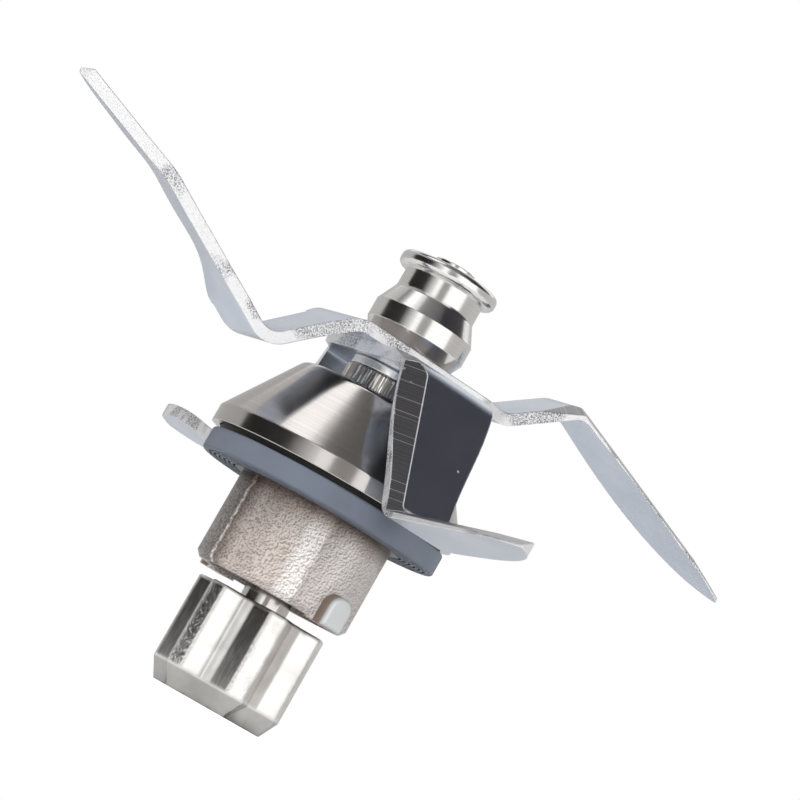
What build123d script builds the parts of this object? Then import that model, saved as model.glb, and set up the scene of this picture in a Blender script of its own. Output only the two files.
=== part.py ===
from build123d import *
import math
import os

# Blade assembly of a cooking blender. Millimetres, +Z up along the spin axis.
# The origin is the centre of the drive coupling's lower face.

# Drive coupling: six-lobed driver, broached and ground, with a lead-in at its lower end
coupling_height = 15.5
coupling_lobes = 6
coupling_lobe_angle = 15.7
coupling_tip_r = 9.7
coupling_crest_width = 2.7
coupling_valley_r = 7.6
coupling_valley_width = 1.7
coupling_lead_in = 2.8
coupling_lead_tip_drop = 1.35
coupling_lead_crest_width = 0.5
coupling_lead_valley_drop = 1.3
coupling_lead_valley_width = 4.0
coupling_edge_break = 0.25
coupling_recess_r = 4.3
coupling_recess_depth = 3.6
coupling_slip = 0.03

# Drive shaft, with two flats where the coupling and the blades sit
shaft_r = 3.5
shaft_flat_half = 2.7
shaft_top = 63.0
shaft_tap_r = 1.65
shaft_tap_depth = 9.0
shaft_groove_r = 3.05
shaft_end_break = 0.3
spacer_wall = 1.3

# Screw that holds the coupling on the shaft's end
screw_head_r = 3.6
screw_head_height = 2.2
screw_length = 7.0
screw_thread_slip = 0.03
screw_socket_flats = 2.5
screw_socket_depth = 1.3

# Bearings 7 x 19 x 6
bearing_outer_r = 9.5
bearing_width = 6.0
bearing_ball_r = 1.75
bearing_ball_count = 7
bearing_pitch_r = 6.5
bearing_race_slip = 0.04
bearing_race_r = 1.9
bearing_inner_land_r = 5.3
bearing_outer_land_r = 7.75
bearing_edge_break = 0.3
shield_thickness = 0.25
shield_inner_r = 5.5
shield_recess_r = 8.2
cage_inner_r = 5.85
cage_outer_r = 7.15
cage_back = 2.2
cage_front = -0.6
cage_pocket_slip = 0.08
lower_bearing_z = 19.7
upper_bearing_z = 37.4

# Bearing housing: cast body, rounded hexagon below, round column above
housing_bottom = 17.3
housing_flats = 22.3
housing_corner_round = 7.6
housing_corner_angle = 12.2
housing_rim_height = 0.8
housing_rim_inset = 0.7
housing_neck_r = 12.6
housing_flange_gap = 0.5
housing_flange_thickness = 2.0
housing_column_r = 10.7
housing_bearing_fit = 0.02
housing_bore_r = 7.9
lug_angle = 42.2
lug_width = 4.0
lug_height = 4.6
lug_top = 21.6
lug_reach = 14.0
lug_side_round = 1.9
lug_end_round = 0.5

# Rings below the lower bearing
circlip_thickness = 1.0
circlip_inner_r = 8.1
circlip_groove_depth = 0.6
circlip_gap_angle = 40.0
circlip_ear_angle = 26.0
circlip_ear_r = 1.5
circlip_hole_r = 0.6
shaft_ring_thickness = 0.7
shaft_ring_outer_r = 4.9
shaft_ring_gap_angle = 60.0
wave_thickness = 0.3
wave_height = 0.8
wave_inner_r = 8.15
wave_outer_r = 9.3
wave_count = 3

# Jug gasket and the black ring above it
gasket_bottom = 30.5
gasket_height = 3.2
gasket_inset = 0.7
gasket_round = 0.35
gasket_groove_count = 6
gasket_groove_width = 0.35
gasket_groove_depth = 0.25
gasket_groove_pitch = 0.75
gasket_first_groove = 1.2
spacer_height = 0.7
spacer_inset = 1.4
seat_slip = 0.02

# Cone cover over the housing
cover_skirt_r = 18.7
cover_skirt_height = 2.4
cover_wall = 1.2
cover_top = 47.6
cover_top_r = 11.6
cover_shoulder_round = 1.3
cover_skirt_round = 0.5
cover_hole_r = 5.7

# Lip seal in the top of the housing
seal_wall = 1.0
seal_height = 2.6
seal_lip_slip = 0.04
seal_lip_height = 0.8
seal_lip_inset = 0.3
seal_lip_root = 1.6
seal_web_width = 2.0
spring_ring_r = 6.1
spring_wire_r = 0.4

# Parts clamped on the shaft
collar_boss_r = 5.0
collar_r = 6.5
collar_bottom = 48.0
collar_height = 2.7
collar_edge = 0.2
washer_height = 1.4
washer_r = 6.2
blade_thickness = 1.75
leaf_join = 4.0

# Upper blade, a strip with one arm up and one arm down
upper_blade_angle = 28.0
upper_hub_half_width = 6.6
upper_arm_half_width = 4.8
upper_hub_half_length = 10.0
upper_arm_start = 17.0
upper_taper_start = 40.0
upper_tip_inset = 1.5
up_roll = -5.5
down_roll = -11.0
up_bend_s = 15.8
up_crest_s = 27.0
up_crest_rise = 7.5
up_tip_s = 62.9
up_tip_drop = 4.4
down_bend_s = 11.8
down_trough_s = 21.9
down_trough_drop = 8.7
down_knee_s = 45.0
down_knee_rise = 2.45
down_tip_s = 63.3
down_tip_inset = 0.7
down_tip_rise = 7.95
upper_bend_r = 3.2
upper_edge_start = 19.0
down_edge_start = 15.0

# Lower blade, both arms down along the cone and then out
lower_blade_angle = -62.0
lower_hub_half_width = 7.6
lower_arm_half_width = 4.8
lower_hub_half_length = 15.0
lower_arm_start = 26.0
lower_taper_start = 31.0
lower_tip_inset = 2.2
lower_front_roll = 2.0
lower_rear_roll = 9.0
lower_bend_s = 15.4
lower_foot_s = 25.6
lower_foot_drop = 19.6
lower_front_tip_s = 55.4
lower_rear_tip_s = 61.0
lower_front_tip_rise = 3.0
lower_rear_tip_rise = 2.0
lower_bend_r = 1.6
lower_edge_start = 9.5
lower_waist_start = 8.5
lower_waist_s = 17.0
lower_waist_end = 31.0
lower_waist_half = 2.8
lower_waist_over = 0.2

# Cutting edges, ground on the upper faces along the leading side
grind_width = 3.2
grind_edge = 0.4
grind_over = 2.5
grind_steps = 5

# Hub knob on top
knob_base_r = 6.35
knob_taper_height = 2.1
knob_barrel_r = 7.4
knob_barrel_height = 2.7
knob_flare_height = 2.9
knob_neck_r = 5.95
knob_neck_height = 2.8
knob_flange_height = 2.2
knob_flange_round = 0.9
knob_boss_r = 3.0
knob_boss_height = 1.0
knob_blend_r = 1.2

# Heights worked out from the values above
housing_bearing_r = bearing_outer_r + housing_bearing_fit
housing_flange_r = cover_skirt_r - cover_wall - housing_flange_gap
gasket_r = cover_skirt_r - gasket_inset
spacer_r = cover_skirt_r - spacer_inset
lower_shoulder_z = lower_bearing_z + bearing_width + wave_height
gasket_top = gasket_bottom + gasket_height
flange_bottom = gasket_top + spacer_height
flange_top = flange_bottom + housing_flange_thickness
cover_bottom = flange_bottom
cover_cone_z = cover_bottom + cover_skirt_height
column_top = cover_top - cover_wall
seal_bottom = column_top - seal_height
upper_bearing_top = upper_bearing_z + bearing_width
collar_top = collar_bottom + collar_height
washer_top = collar_top + washer_height
lower_blade_top = washer_top + blade_thickness
upper_blade_top = lower_blade_top + blade_thickness
bearing_bottoms = {"lower": lower_bearing_z, "upper": upper_bearing_z}


def spun(points):
    """Solid turned from a half section given as (radius, height) points."""
    return revolve(make_face(Polyline(*[(r, 0, z) for r, z in points], close=True)), Axis.Z)


def ring(inner_r, outer_r, z_low, z_high):
    """Plain flat ring."""
    return Pos(0, 0, z_low) * (
        Cylinder(outer_r, z_high - z_low, align=(Align.CENTER, Align.CENTER, Align.MIN))
        - Cylinder(inner_r, z_high - z_low, align=(Align.CENTER, Align.CENTER, Align.MIN))
    )


def flatted_rod(radius, flat_half, z_low, z_high):
    """Round rod with two flats, square to X."""
    rod = Pos(0, 0, z_low) * Cylinder(radius, z_high - z_low, align=(Align.CENTER, Align.CENTER, Align.MIN))
    slab = Pos(0, 0, (z_low + z_high) / 2) * Box(2 * flat_half, 2 * radius + 1, z_high - z_low)
    return rod & slab


def turned(shape, angle):
    """Shape turned about the spin axis, measured from the front towards +X."""
    return Rot(0, 0, angle - 90) * shape


def lobe_outline(tip_r, crest_width, valley_r, valley_width):
    """Closed outline of the coupling: round crests, straight flanks, round valleys."""
    crest = math.degrees(math.asin(crest_width / 2 / tip_r))
    valley = math.degrees(math.asin(valley_width / 2 / valley_r))
    pitch = 360 / coupling_lobes
    edges = []

    def at(radius, angle):
        return (radius * math.cos(math.radians(angle)), radius * math.sin(math.radians(angle)))

    for lobe in range(coupling_lobes):
        mid = lobe * pitch
        edges.append(ThreePointArc(at(tip_r, mid - crest), at(tip_r, mid), at(tip_r, mid + crest)))
        edges.append(Line(at(tip_r, mid + crest), at(valley_r, mid + pitch / 2 - valley)))
        edges.append(
            ThreePointArc(
                at(valley_r, mid + pitch / 2 - valley),
                at(valley_r, mid + pitch / 2),
                at(valley_r, mid + pitch / 2 + valley),
            )
        )
        edges.append(Line(at(valley_r, mid + pitch / 2 + valley), at(tip_r, mid + pitch - crest)))
    return make_face(Curve() + edges)


def make_drive_coupling():
    """Lobed driver with a lead-in, a recess for its screw and a flatted bore."""
    full = lobe_outline(coupling_tip_r, coupling_crest_width, coupling_valley_r, coupling_valley_width)
    end = lobe_outline(
        coupling_tip_r - coupling_lead_tip_drop,
        coupling_lead_crest_width,
        coupling_valley_r - coupling_lead_valley_drop,
        coupling_lead_valley_width,
    )
    body = extrude(Pos(0, 0, coupling_lead_in) * full, coupling_height - coupling_lead_in)
    body = chamfer(body.faces().sort_by(Axis.Z)[-1].outer_wire().edges(), coupling_edge_break)
    body += loft([end, Pos(0, 0, coupling_lead_in) * full], ruled=True)
    body -= Cylinder(coupling_recess_r, coupling_recess_depth, align=(Align.CENTER, Align.CENTER, Align.MIN))
    bore = flatted_rod(
        shaft_r + coupling_slip, shaft_flat_half + coupling_slip, coupling_recess_depth, coupling_height
    )
    return turned(body, coupling_lobe_angle) - bore


def make_coupling_screw():
    """Low-head socket screw up into the shaft's end."""
    head_low = coupling_recess_depth - screw_head_height
    head = Pos(0, 0, head_low) * Cylinder(
        screw_head_r, screw_head_height, align=(Align.CENTER, Align.CENTER, Align.MIN)
    )
    head = chamfer(head.faces().sort_by(Axis.Z)[0].edges(), shaft_end_break)
    stem = Pos(0, 0, coupling_recess_depth) * Cylinder(
        shaft_tap_r - screw_thread_slip, screw_length, align=(Align.CENTER, Align.CENTER, Align.MIN)
    )
    socket = Pos(0, 0, head_low) * extrude(
        RegularPolygon(screw_socket_flats / 2, 6, major_radius=False), screw_socket_depth
    )
    return head + stem - socket


def make_drive_shaft():
    """Ground shaft with flats at both ends and a groove for its ring."""
    low = coupling_recess_depth
    flats_low = flatted_rod(shaft_r, shaft_flat_half, low, coupling_height)
    journal = Pos(0, 0, coupling_height) * Cylinder(
        shaft_r, collar_top - coupling_height, align=(Align.CENTER, Align.CENTER, Align.MIN)
    )
    flats_high = flatted_rod(shaft_r, shaft_flat_half, collar_top, shaft_top)
    shaft = flats_low + journal + flats_high
    shaft -= Pos(0, 0, low) * Cylinder(shaft_tap_r, shaft_tap_depth, align=(Align.CENTER, Align.CENTER, Align.MIN))
    groove_top = lower_bearing_z
    return shaft - ring(shaft_groove_r, shaft_r + 1, groove_top - shaft_ring_thickness, groove_top)


def make_shaft_ring():
    """Open ring in the shaft's groove, under the lower bearing."""
    low = lower_bearing_z - shaft_ring_thickness
    body = ring(shaft_groove_r, shaft_ring_outer_r, low, lower_bearing_z)
    reach = shaft_ring_outer_r + 1
    half = math.radians(shaft_ring_gap_angle / 2)
    wedge = Polyline(
        (0, 0), (reach * math.cos(half), -reach * math.sin(half)), (reach * math.cos(half), reach * math.sin(half)),
        close=True,
    )
    return body - Pos(0, 0, low) * extrude(make_face(wedge), shaft_ring_thickness)


def make_inner_ring(bottom):
    """Inner bearing ring with its ball groove."""
    middle = bottom + bearing_width / 2
    body = ring(shaft_r, bearing_inner_land_r, bottom, bottom + bearing_width)
    body = chamfer(body.edges().filter_by(GeomType.CIRCLE), bearing_edge_break)
    groove_r = bearing_pitch_r - bearing_ball_r - bearing_race_slip + bearing_race_r
    return body - Pos(0, 0, middle) * Torus(groove_r, bearing_race_r)


def make_outer_ring(bottom):
    """Outer bearing ring with its ball groove and the seats of its shields."""
    middle = bottom + bearing_width / 2
    body = ring(bearing_outer_land_r, bearing_outer_r, bottom, bottom + bearing_width)
    outside = body.edges().filter_by(GeomType.CIRCLE).group_by(SortBy.RADIUS)[-1]
    body = chamfer(outside, bearing_edge_break)
    groove_r = bearing_pitch_r + bearing_ball_r + bearing_race_slip - bearing_race_r
    body -= Pos(0, 0, middle) * Torus(groove_r, bearing_race_r)
    body -= ring(bearing_outer_land_r - 1, shield_recess_r, bottom, bottom + shield_thickness)
    top = bottom + bearing_width
    return body - ring(bearing_outer_land_r - 1, shield_recess_r, top - shield_thickness, top)


def make_balls(bottom):
    """Balls of one bearing."""
    middle = bottom + bearing_width / 2
    balls = [
        Rot(0, 0, i * 360 / bearing_ball_count) * Pos(bearing_pitch_r, 0, middle) * Sphere(bearing_ball_r)
        for i in range(bearing_ball_count)
    ]
    return Compound(children=balls)


def make_cage(bottom):
    """Snap cage: a ring with one open pocket for each ball."""
    middle = bottom + bearing_width / 2
    body = ring(cage_inner_r, cage_outer_r, middle + cage_front, middle + cage_back)
    for i in range(bearing_ball_count):
        pocket = Pos(bearing_pitch_r, 0, middle) * Sphere(bearing_ball_r + cage_pocket_slip)
        body -= Rot(0, 0, i * 360 / bearing_ball_count) * pocket
    return body


def make_shields(bottom):
    """Two pressed shields of one bearing."""
    top = bottom + bearing_width
    low = ring(shield_inner_r, shield_recess_r, bottom, bottom + shield_thickness)
    high = ring(shield_inner_r, shield_recess_r, top - shield_thickness, top)
    return Compound(children=[low, high])


def make_bearing_spacer():
    """Sleeve on the shaft between the two inner rings."""
    return ring(shaft_r, shaft_r + spacer_wall, lower_bearing_z + bearing_width, upper_bearing_z)


def make_wave_washer():
    """Three-wave spring washer between the lower bearing and its shoulder."""
    low = lower_bearing_z + bearing_width
    middle = low + wave_height / 2
    swing = (wave_height - wave_thickness) / 2
    steps = 12 * wave_count

    def loop(radius, lift):
        points = []
        for i in range(steps):
            turn = 2 * math.pi * i / steps
            height = middle + lift + swing * math.cos(wave_count * turn)
            points.append((radius * math.cos(turn), radius * math.sin(turn), height))
        return Spline(*points, periodic=True)

    half = wave_thickness / 2
    inner_low, inner_high = loop(wave_inner_r, -half), loop(wave_inner_r, half)
    outer_low, outer_high = loop(wave_outer_r, -half), loop(wave_outer_r, half)
    faces = [
        Face.make_surface_from_curves(inner_low, outer_low),
        Face.make_surface_from_curves(inner_high, outer_high),
        Face.make_surface_from_curves(inner_low, inner_high),
        Face.make_surface_from_curves(outer_low, outer_high),
    ]
    return Solid(Shell(faces))


def make_housing_circlip():
    """Internal retaining ring with two eared ends, below the lower bearing."""
    low = lower_bearing_z - circlip_thickness
    body = ring(circlip_inner_r, housing_bearing_r + circlip_groove_depth, low, lower_bearing_z)
    reach = 2 * bearing_outer_r
    half = math.radians(circlip_gap_angle / 2)
    wedge = Polyline(
        (0, 0), (reach * math.cos(half), -reach * math.sin(half)), (reach * math.cos(half), reach * math.sin(half)),
        close=True,
    )
    body -= Pos(0, 0, low) * extrude(make_face(wedge), circlip_thickness)
    ear_place_r = housing_bearing_r - circlip_ear_r - circlip_thickness / 2
    for side in (-1, 1):
        turn = side * circlip_ear_angle
        place = Rot(0, 0, turn) * Pos(ear_place_r, 0, low)
        body += place * Cylinder(circlip_ear_r, circlip_thickness, align=(Align.CENTER, Align.CENTER, Align.MIN))
        body -= place * Cylinder(circlip_hole_r, circlip_thickness, align=(Align.CENTER, Align.CENTER, Align.MIN))
    return turned(body, 180)


def make_bearing_housing():
    """Cast housing: rounded hexagon, two lugs, neck, flange, column and stepped bore."""
    hexagon = RegularPolygon(housing_flats / 2, 6, major_radius=False)
    hexagon = fillet(hexagon.vertices(), housing_corner_round)
    rim = offset(hexagon, -housing_rim_inset)
    rim_top = housing_bottom + housing_rim_height
    body = extrude(Pos(0, 0, rim_top) * hexagon, gasket_bottom - rim_top)
    body += loft([Pos(0, 0, housing_bottom) * rim, Pos(0, 0, rim_top) * hexagon], ruled=True)
    body = turned(Rot(0, 0, -30) * body, housing_corner_angle)
    for side in (0, 180):
        body += turned(make_lug(), lug_angle + side)
    body += ring(housing_bore_r, housing_neck_r, gasket_bottom, flange_bottom)
    body += ring(housing_bore_r, housing_flange_r, flange_bottom, flange_top)
    body += ring(housing_bore_r, housing_column_r, flange_top, column_top)
    groove_low = lower_bearing_z - circlip_thickness
    body -= Pos(0, 0, housing_bottom) * Cylinder(
        housing_bore_r, column_top - housing_bottom, align=(Align.CENTER, Align.CENTER, Align.MIN)
    )
    body -= Pos(0, 0, housing_bottom) * Cylinder(
        housing_bearing_r, lower_shoulder_z - housing_bottom, align=(Align.CENTER, Align.CENTER, Align.MIN)
    )
    body -= Pos(0, 0, groove_low) * Cylinder(
        housing_bearing_r + circlip_groove_depth, circlip_thickness, align=(Align.CENTER, Align.CENTER, Align.MIN)
    )
    return body - Pos(0, 0, upper_bearing_z) * Cylinder(
        housing_bearing_r, column_top - upper_bearing_z, align=(Align.CENTER, Align.CENTER, Align.MIN)
    )


def make_lug():
    """Round-topped bayonet lug on one flat of the hexagon, along +X."""
    root = housing_flats / 2 - 1
    bar = Pos(root, 0, lug_top - lug_height / 2) * Box(
        lug_reach - root, lug_width, lug_height, align=(Align.MIN, Align.CENTER, Align.CENTER)
    )
    bar = fillet(bar.edges().filter_by(Axis.X).group_by(Axis.Z)[-1], lug_side_round)
    end_edges = bar.faces().sort_by(Axis.X)[-1].edges()
    return fillet(end_edges, lug_end_round)


def make_jug_gasket():
    """Rubber ring with fine concentric grooves on its sealing face."""
    body = ring(housing_neck_r + seat_slip, gasket_r, gasket_bottom, gasket_top)
    outer_edges = body.edges().filter_by(GeomType.CIRCLE).group_by(SortBy.RADIUS)[-1]
    body = fillet(outer_edges, gasket_round)
    for i in range(gasket_groove_count):
        middle_r = gasket_r - gasket_first_groove - i * gasket_groove_pitch
        low_r = middle_r - gasket_groove_width / 2
        body -= ring(low_r, low_r + gasket_groove_width, gasket_bottom, gasket_bottom + gasket_groove_depth)
    return body


def make_seal_spacer_ring():
    """Black plastic ring between the gasket and the flange."""
    return ring(housing_neck_r + seat_slip, spacer_r, gasket_top, flange_bottom)


def make_cone_cover():
    """Turned stainless cover: short skirt, cone and flat top with a round hole."""
    slope = math.atan2(cover_skirt_r - cover_top_r, cover_top - cover_cone_z)
    across = cover_wall / math.cos(slope)
    inner_top_z = cover_top - cover_wall
    cone_inner_top_r = cover_top_r + (cover_top - inner_top_z) * math.tan(slope) - across
    inner_skirt_r = cover_skirt_r - cover_wall
    inner_cone_z = cover_cone_z - (across - cover_wall) / math.tan(slope)
    section = make_face(
        Polyline(
            (cover_skirt_r, 0, cover_bottom),
            (cover_skirt_r, 0, cover_cone_z),
            (cover_top_r, 0, cover_top),
            (cover_hole_r, 0, cover_top),
            (cover_hole_r, 0, inner_top_z),
            (cone_inner_top_r, 0, inner_top_z),
            (inner_skirt_r, 0, inner_cone_z),
            (inner_skirt_r, 0, cover_bottom),
            close=True,
        )
    )
    body = revolve(section, Axis.Z)
    shoulder = body.edges().filter_by(GeomType.CIRCLE).filter_by(
        lambda e: abs(e.radius - cover_top_r) < 1e-3
    )
    body = fillet(shoulder, cover_shoulder_round)
    knee = body.edges().filter_by(GeomType.CIRCLE).filter_by(
        lambda e: abs(e.radius - cover_skirt_r) < 1e-3 and abs(e.center().Z - cover_cone_z) < 1e-3
    )
    return fillet(knee, cover_skirt_round)


def make_shaft_lip_seal():
    """Moulded shaft seal: outer band, web and sealing lip."""
    lip_r = collar_boss_r + seal_lip_slip
    top = column_top
    web_z = top - seal_wall
    lip_low = seal_bottom + seal_lip_inset
    spring_z = lip_low + spring_wire_r
    return spun([
        (housing_bearing_r, seal_bottom),
        (housing_bearing_r, top),
        (lip_r + seal_lip_root, top),
        (lip_r, lip_low + seal_lip_height),
        (lip_r, lip_low),
        (spring_ring_r - spring_wire_r, lip_low),
        (spring_ring_r - spring_wire_r, spring_z + spring_wire_r),
        (lip_r + seal_web_width, web_z),
        (housing_bearing_r - seal_wall, web_z),
        (housing_bearing_r - seal_wall, seal_bottom),
    ])


def make_seal_spring():
    """Garter spring ring behind the sealing lip."""
    return Pos(0, 0, seal_bottom + seal_lip_inset + spring_wire_r) * Torus(spring_ring_r, spring_wire_r)


def make_blade_collar():
    """Collar on the shaft: a boss through the seal and a wider flange under the blades."""
    return spun([
        (shaft_r, upper_bearing_top),
        (collar_boss_r, upper_bearing_top),
        (collar_boss_r, collar_bottom),
        (collar_r - collar_edge, collar_bottom),
        (collar_r, collar_bottom + collar_edge),
        (collar_r, collar_top - collar_edge),
        (collar_r - collar_edge, collar_top),
        (shaft_r, collar_top),
    ])


def make_blade_washer():
    """Thick washer between the collar and the lower blade."""
    body = ring(shaft_r, washer_r, collar_top, washer_top)
    rims = body.edges().filter_by(GeomType.CIRCLE).group_by(SortBy.RADIUS)[-1]
    return chamfer(rims, collar_edge)


def folded_section(points, thickness, bend_r):
    """Side view of a folded strip, from the (distance, height) points of its upper face."""
    slopes = [math.atan2(b[1] - a[1], b[0] - a[0]) for a, b in zip(points, points[1:])]
    befores = slopes[:1] + slopes
    afters = slopes + slopes[-1:]
    under = []
    upper_radii = []
    under_radii = []
    for (s, z), before, after in zip(points, befores, afters):
        middle = (before + after) / 2
        reach = thickness / math.cos((after - before) / 2)
        under.append((s + reach * math.sin(middle), z - reach * math.cos(middle)))
        if before == after:
            upper_radii.append(0)
            under_radii.append(0)
        else:
            upper_radii.append(bend_r + thickness if after < before else bend_r)
            under_radii.append(bend_r if after < before else bend_r + thickness)
    loop = [(s, 0, z) for s, z in points + under[::-1]]
    return make_face(FilletPolyline(*loop, radius=upper_radii + under_radii[::-1], close=True))


def leaf_outline(plan, tip_s, straight_side):
    """Plan of one arm: wide hub, waist, one straight edge and one that curves in to the tip."""
    hub_half, hub_s, arm_s, arm_half, taper_s, tip_inset = plan
    waist_s = (hub_s + arm_s) / 2
    waist_half = (hub_half + arm_half) / 2
    tip = (tip_s, straight_side * (arm_half - tip_inset))
    near, far = straight_side, -straight_side
    edges = [
        Line((-1, near * hub_half), (hub_s, near * hub_half)),
        Spline(
            (hub_s, near * hub_half), (waist_s, near * waist_half), (arm_s, near * arm_half),
            tangents=[(1, 0), (1, 0)],
        ),
        Line((arm_s, near * arm_half), (tip_s - 4 * tip_inset, near * arm_half)),
        Spline(
            (tip_s - 4 * tip_inset, near * arm_half), tip,
            tangents=[(1, 0), (0.8, far * 0.6)],
        ),
        curved_side(plan, tip_s, straight_side),
        Line((taper_s, far * arm_half), (arm_s, far * arm_half)),
        Spline(
            (arm_s, far * arm_half), (waist_s, far * waist_half), (hub_s, far * hub_half),
            tangents=[(-1, 0), (-1, 0)],
        ),
        Line((hub_s, far * hub_half), (-1, far * hub_half)),
        Line((-1, far * hub_half), (-1, near * hub_half)),
    ]
    return make_face(Curve() + edges)


def curved_side(plan, tip_s, straight_side):
    """The side of a leaf that curves in, from its tip back to where it leaves the straight."""
    _, _, _, arm_half, taper_s, tip_inset = plan
    tip = (tip_s, straight_side * (arm_half - tip_inset))
    far = -straight_side
    return Spline(tip, (taper_s, far * arm_half), tangents=[(-0.55, far * 0.83), (-1, 0)])


def twisted_leaf(stations, thickness, half_width, pivot):
    """Outer part of an arm, through (distance, height, roll) points on a line off its middle by pivot."""
    sections = []
    for i, (s, z, roll) in enumerate(stations):
        before = stations[max(i - 1, 0)]
        after = stations[min(i + 1, len(stations) - 1)]
        slope = math.atan2(after[1] - before[1], after[0] - before[0])
        ahead = Vector(math.cos(slope), 0, math.sin(slope))
        up = Vector(-math.sin(slope), 0, math.cos(slope)).rotate(Axis((0, 0, 0), ahead), roll)
        side = up.cross(ahead)
        middle = Vector(s, pivot, z) - side * pivot - up * (thickness / 2)
        plane = Plane(origin=middle, x_dir=side, z_dir=ahead)
        sections.append(plane * Rectangle(2 * half_width, thickness))
    return loft(sections)


def make_arm(folds, leaf, outline, bend_r, half_width, pivot=0):
    """One arm of a blade: folded strip, twisted leaf, both trimmed to the plan."""
    strip = extrude(folded_section(folds, blade_thickness, bend_r), half_width + 1, both=True)
    strip += twisted_leaf(leaf, blade_thickness, half_width + 1, pivot)
    heights = [z for _, z in folds] + [z for _, z, _ in leaf]
    low = min(heights) - 10
    return strip & extrude(Pos(0, 0, low) * outline, max(heights) + 10 - low)


def ground_edge(body, corners, bend_r):
    """Arm with its upper face ground to an edge along the leading side, past these edge points."""
    drop = (blade_thickness - grind_edge) / grind_width
    wedge = [
        (-grind_over, -drop * (grind_width + grind_over)),
        (grind_width + grind_over, drop * grind_over),
        (-grind_over, drop * grind_over),
    ]
    slopes = [math.atan2(b[2] - a[2], b[0] - a[0]) for a, b in zip(corners, corners[1:])]
    sections = []
    for corner, before, after in zip(corners, slopes[:1] + slopes, slopes + slopes[-1:]):
        middle = (before + after) / 2
        stretch = 1 / math.cos((after - before) / 2)
        upward = Vector(-math.sin(middle), 0, math.cos(middle))
        hollow = (stretch - 1) * (bend_r + blade_thickness - grind_edge) if after > before else 0
        loop = [
            Vector(corner) + Vector(0, inward, 0) + upward * (hollow + stretch * height)
            for inward, height in wedge
        ]
        sections.append(make_face(Polyline(*loop, close=True)))
    return body - loft(sections, ruled=True)


def edge_height(height, reach, roll):
    """Height of the leading edge of a leaf, at this reach from the line it is rolled about."""
    return height - reach * math.sin(math.radians(roll))


def along(start, slope, distance, roll):
    """Leaf station at a distance from the axis, on the line through a point."""
    return (distance, start[1] + slope * (distance - start[0]), roll)


def stations(start, slope, first, last, count, roll):
    """Evenly spaced leaf stations on the line through a point."""
    return [along(start, slope, first + (last - first) * i / (count - 1), roll) for i in range(count)]


def make_upper_blade():
    """Upper blade: one arm rises and falls, the other dips and rises."""
    top = upper_blade_top
    crest = (up_crest_s, top + up_crest_rise)
    fall = (-up_tip_drop - up_crest_rise) / (up_tip_s - up_crest_s)
    up_join = along(crest, fall, up_crest_s + leaf_join, 0)
    up_leaf = [
        up_join,
        along(crest, fall, up_crest_s + 2 * leaf_join, up_roll / 2),
        along(crest, fall, (up_crest_s + up_tip_s) / 2, up_roll),
        along(crest, fall, up_tip_s + 1, up_roll),
    ]
    up_folds = [(-1, top), (up_bend_s, top), crest, up_join[:2]]
    trough = (down_trough_s, top - down_trough_drop)
    knee = (down_knee_s, top + down_knee_rise)
    rise = (knee[1] - trough[1]) / (knee[0] - trough[0])
    lift = (down_tip_rise - down_knee_rise) / (down_tip_s - down_knee_s)
    down_middle_s = (down_trough_s + down_knee_s) / 2
    down_middle = along(trough, rise, down_middle_s, down_roll)
    down_join = along(trough, rise, down_trough_s + leaf_join, 0)
    down_leaf = [
        down_join,
        along(trough, rise, down_trough_s + 2 * leaf_join, down_roll / 2),
    ]
    down_leaf += stations(trough, rise, down_middle_s, down_knee_s, 4, down_roll)
    down_leaf += stations(knee, lift, down_knee_s, down_tip_s + 1, 6, down_roll)[1:]
    down_folds = [(-1, top), (down_bend_s, top), trough, down_join[:2]]
    plan = (
        upper_hub_half_width, upper_hub_half_length, upper_arm_start, upper_arm_half_width,
        upper_taper_start, upper_tip_inset,
    )
    down_plan = plan[:-1] + (down_tip_inset,)
    up_arm = make_arm(
        up_folds, up_leaf, leaf_outline(plan, up_tip_s, -1), upper_bend_r, upper_hub_half_width
    )
    down_arm = make_arm(
        down_folds, down_leaf, leaf_outline(down_plan, down_tip_s, 1), upper_bend_r, upper_hub_half_width,
        upper_arm_half_width,
    )
    edge = -upper_arm_half_width
    tip_edge = edge + upper_tip_inset
    up_start = along((up_bend_s, top), up_crest_rise / (up_crest_s - up_bend_s), upper_edge_start, 0)
    up_turn = along(crest, fall, up_tip_s - 4 * upper_tip_inset, up_roll)
    up_tip = along(crest, fall, up_tip_s + grind_over, up_roll)
    up_arm = ground_edge(up_arm, [
        (upper_edge_start, edge, up_start[1] + blade_thickness),
        (up_crest_s, edge, crest[1]),
        (up_turn[0], edge, edge_height(up_turn[1], upper_arm_half_width, up_roll)),
        (up_tip[0], tip_edge, edge_height(up_tip[1], upper_arm_half_width, up_roll)),
    ], upper_bend_r)
    down_start = along(
        (down_bend_s, top), -down_trough_drop / (down_trough_s - down_bend_s), down_edge_start, 0
    )
    down_corners = [
        (down_edge_start, edge, down_start[1] + blade_thickness),
        (down_trough_s, edge, trough[1]),
        (down_middle_s, edge, edge_height(down_middle[1], 2 * upper_arm_half_width, down_roll)),
    ]
    curve = curved_side(down_plan, down_tip_s, 1)
    for step in range(grind_steps, -1, -1):
        point = curve @ (step / grind_steps)
        slope = rise if point.X < down_knee_s else lift
        height = knee[1] + slope * (point.X - down_knee_s)
        down_corners.append((point.X, point.Y, edge_height(height, upper_arm_half_width - point.Y, down_roll)))
    last = Vector(down_corners[-1])
    down_corners.append(tuple(last + (last - Vector(down_corners[-2])).normalized() * grind_over))
    down_arm = ground_edge(down_arm, down_corners, upper_bend_r)
    body = up_arm + Rot(0, 0, 180) * down_arm
    return Rot(0, 0, upper_blade_angle) * body - blade_hole(top)


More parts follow.
